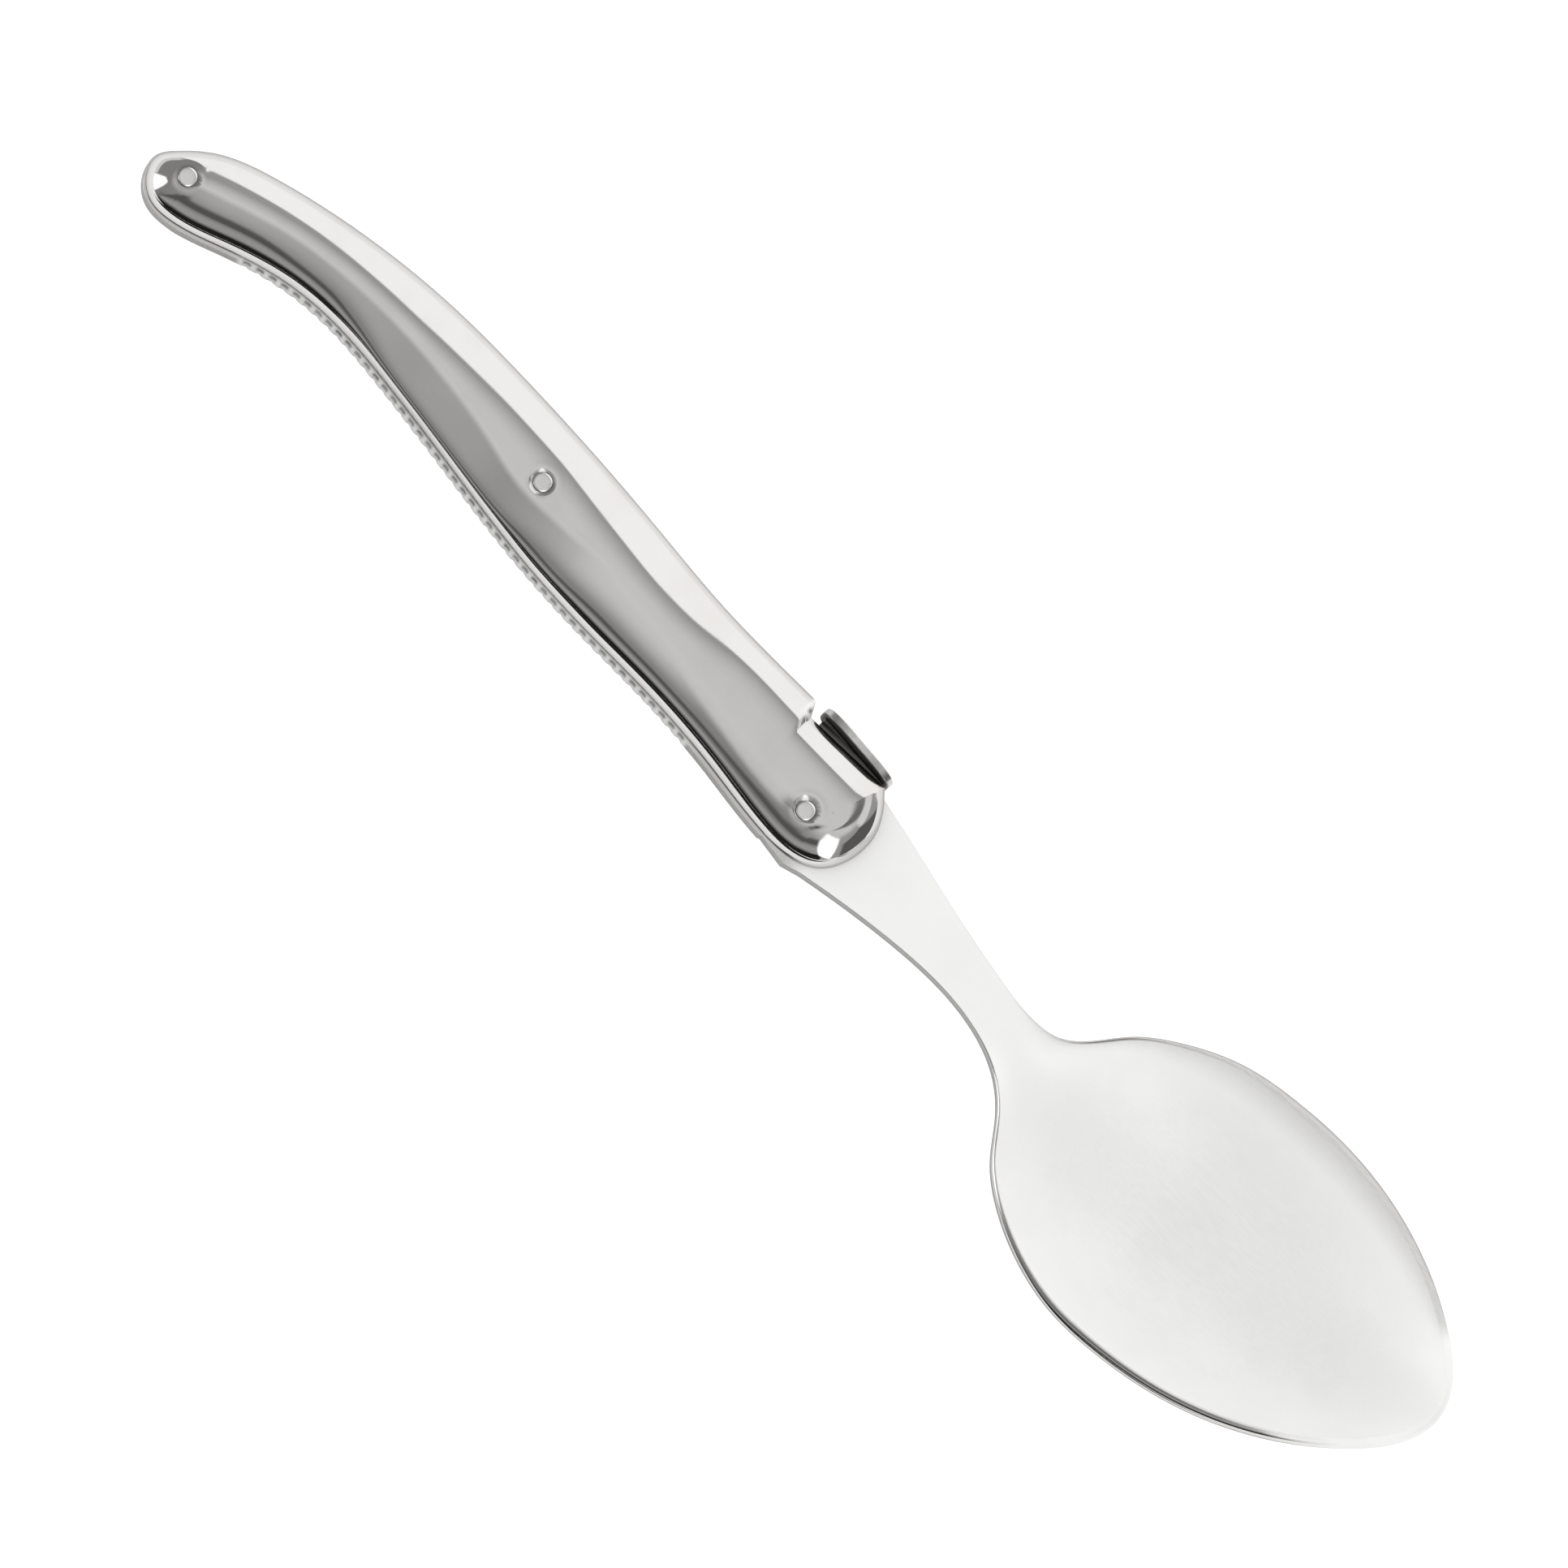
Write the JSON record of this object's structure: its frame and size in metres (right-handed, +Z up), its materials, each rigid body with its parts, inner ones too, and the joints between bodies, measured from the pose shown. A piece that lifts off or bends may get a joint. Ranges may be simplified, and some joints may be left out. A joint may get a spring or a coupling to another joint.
{
  "type": "coffee spoon",
  "caption": "Coffee spoon stamped from one steel sheet, with a curved riveted handle of two polished shells, a file-cut belly edge and a back spring plate at the bolster.",
  "frame": {"origin": "centre of the bounding box in X and Y, on the plane that the spoon rests on", "axes": "+X along the spoon from the tail of the handle to the tip of the bowl, +Y from the belly of the handle to its back, +Z up, with the bowl open upwards; the sheet is tilted 1.7 degrees about Y so that the bowl and the tail both touch the table"},
  "size_m": [0.1646, 0.0304, 0.0119],
  "materials": {
    "satin_blank": "satin-polished stainless steel",
    "polished_shell_upper": "mirror-polished stainless steel",
    "polished_shell_lower": "mirror-polished stainless steel",
    "spring_steel": "ground and polished stainless spring steel",
    "plate_steel": "polished stainless steel with a rubbed edge",
    "tail_rivet_steel": "peened and polished stainless steel",
    "middle_rivet_steel": "peened and polished stainless steel",
    "front_rivet_steel": "peened and polished stainless steel"
  },
  "bodies": {
    "root": {"spoon_blank": "satin_blank", "upper_shell": "polished_shell_upper", "lower_shell": "polished_shell_lower", "back_spring": "spring_steel", "spring_plate": "plate_steel", "tail_rivet": "tail_rivet_steel", "middle_rivet": "middle_rivet_steel", "front_rivet": "front_rivet_steel"}
  },
  "joints": []
}
